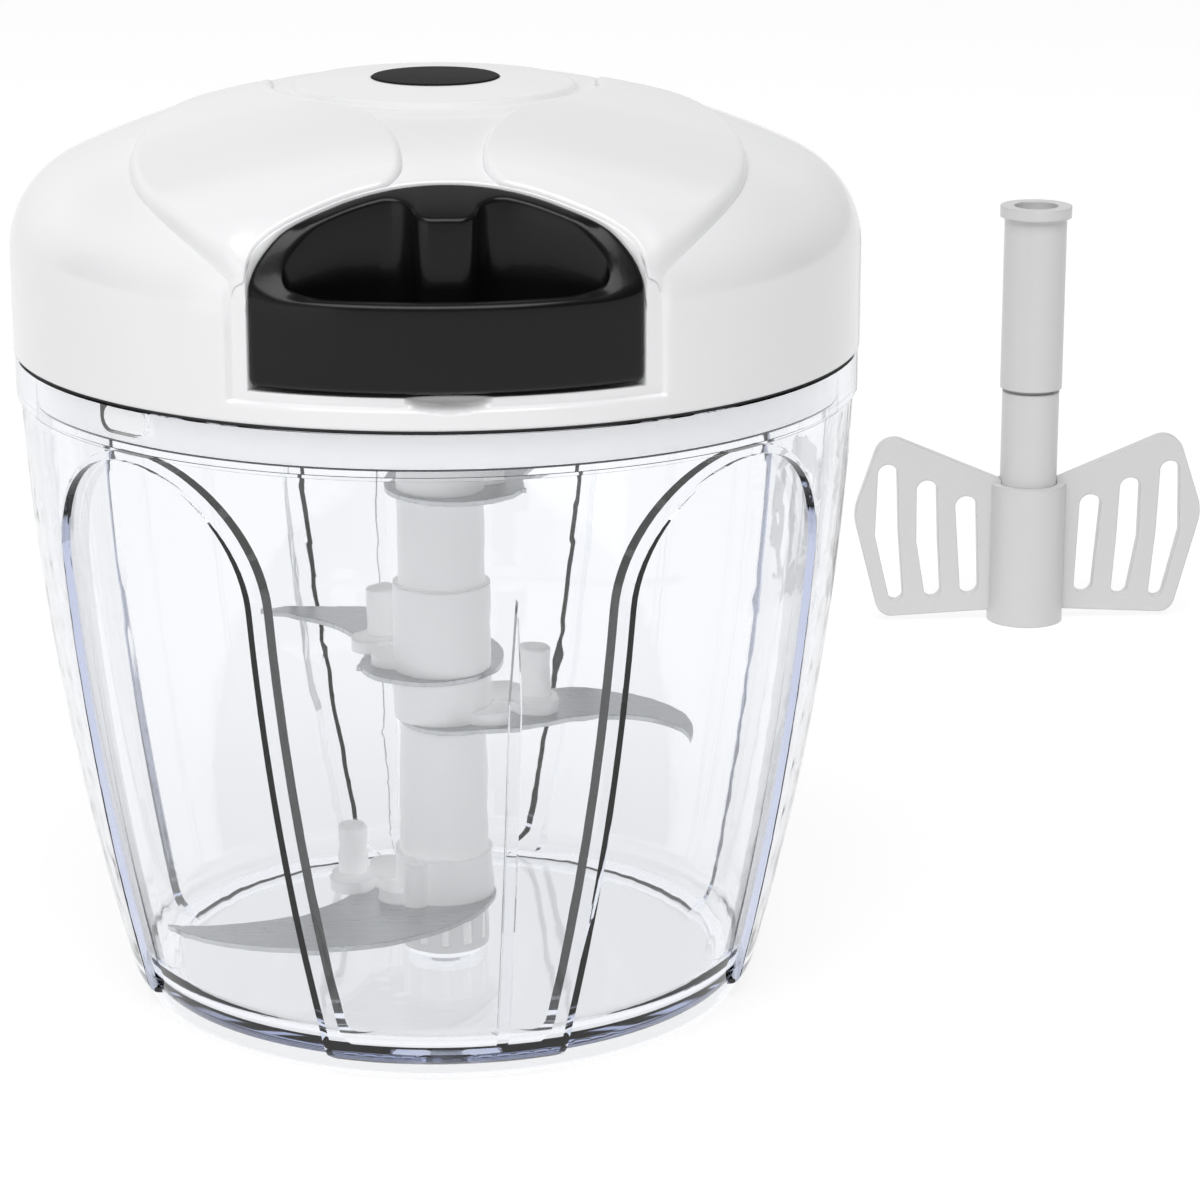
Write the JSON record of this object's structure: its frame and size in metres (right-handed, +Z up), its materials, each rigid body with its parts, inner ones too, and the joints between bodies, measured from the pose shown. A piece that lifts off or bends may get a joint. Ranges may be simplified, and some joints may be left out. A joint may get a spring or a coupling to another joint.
{
  "type": "pull-string food chopper",
  "caption": "Hand food chopper: clear fluted bowl, domed lid with a pull handle and cord reel, spinning blade column and a separate mixing paddle.",
  "frame": {"origin": "centre of the bowl's underside, on the table", "axes": "+Z up along the bowl's axis, -Y the way the handle is pulled, +X to the right seen from the front"},
  "size_m": [0.2284, 0.268, 0.1443],
  "materials": {
    "clear_plastic": "clear and polished",
    "white_gloss": "white, glossy",
    "white_plastic": "white, satin",
    "black_gloss": "black, glossy",
    "black_satin": "charcoal black, satin",
    "blade_steel": "stamped and brushed, ground edge",
    "pin_steel": "turned",
    "spring_steel": "blued",
    "brass_fitting": "plain",
    "bearing_plastic": "natural bearing plastic",
    "reel_plastic": "grey, moulded",
    "cord": "braided nylon"
  },
  "bodies": {
    "bowl": {"bowl": "clear_plastic", "pivot_pin": "pin_steel"},
    "lid": {"lid_cover": "white_gloss", "lid_base": "white_plastic", "crown_cap": "black_gloss", "drive_bush": "bearing_plastic", "reel_axle": "pin_steel", "housing_screws": "pin_steel", "cord_eyelet": "brass_fitting", "cord_run": "cord", "recoil_spring": "spring_steel"},
    "handle": {"pull_handle": "black_satin", "cord_ferrule": "brass_fitting"},
    "reel": {"cord_reel": "reel_plastic", "reel_cover": "spring_steel", "cord_winding": "cord", "drive_spigot": "white_plastic"},
    "blade_unit": {"spindle": "white_plastic", "foot_sleeve": "white_plastic", "bottom_blade": "blade_steel", "bottom_holder": "white_plastic", "lower_spacer": "white_plastic", "right_blade": "blade_steel", "right_holder": "white_plastic", "left_blade": "blade_steel", "left_holder": "white_plastic", "upper_spacer": "white_plastic", "top_blade": "blade_steel", "top_holder": "white_plastic", "drive_coupling": "white_plastic"},
    "mixer": {"mixer_paddle": "white_plastic", "mixer_stem": "white_plastic", "mixer_tube": "white_plastic"}
  },
  "joints": [
    {"name": "lid_lift", "type": "slide", "parent": "bowl", "child": "lid", "axis": [0, 0, 1], "range_m": [0, 0.16]},
    {"name": "handle_pull", "type": "slide", "parent": "lid", "child": "handle", "axis": [0, -1, 0], "range_m": [0, 0.32], "stiffness_N_per_m": 20, "springref_m": -0.05, "deforming": ["cord_run", "recoil_spring"]},
    {"name": "reel_spin", "type": "hinge", "parent": "lid", "child": "reel", "pos_m": [0, 0, 0.112], "axis": [0, 0, 1], "range_deg": [-720, 0], "deforming": ["cord_run", "recoil_spring"]},
    {"name": "blade_spin", "type": "hinge", "parent": "bowl", "child": "blade_unit", "pos_m": [0, 0, 0.005], "axis": [0, 0, 1], "range_deg": [-720, 0]},
    {"name": "mixer_lift", "type": "slide", "parent": "bowl", "child": "mixer", "axis": [0, 0, 1], "range_m": [0, 0.15]}
  ],
  "couplings": [
    {"joint": "reel_spin", "follows": "handle_pull", "rad_per_m": -35.714},
    {"joint": "blade_spin", "follows": "handle_pull", "rad_per_m": -35.714}
  ]
}
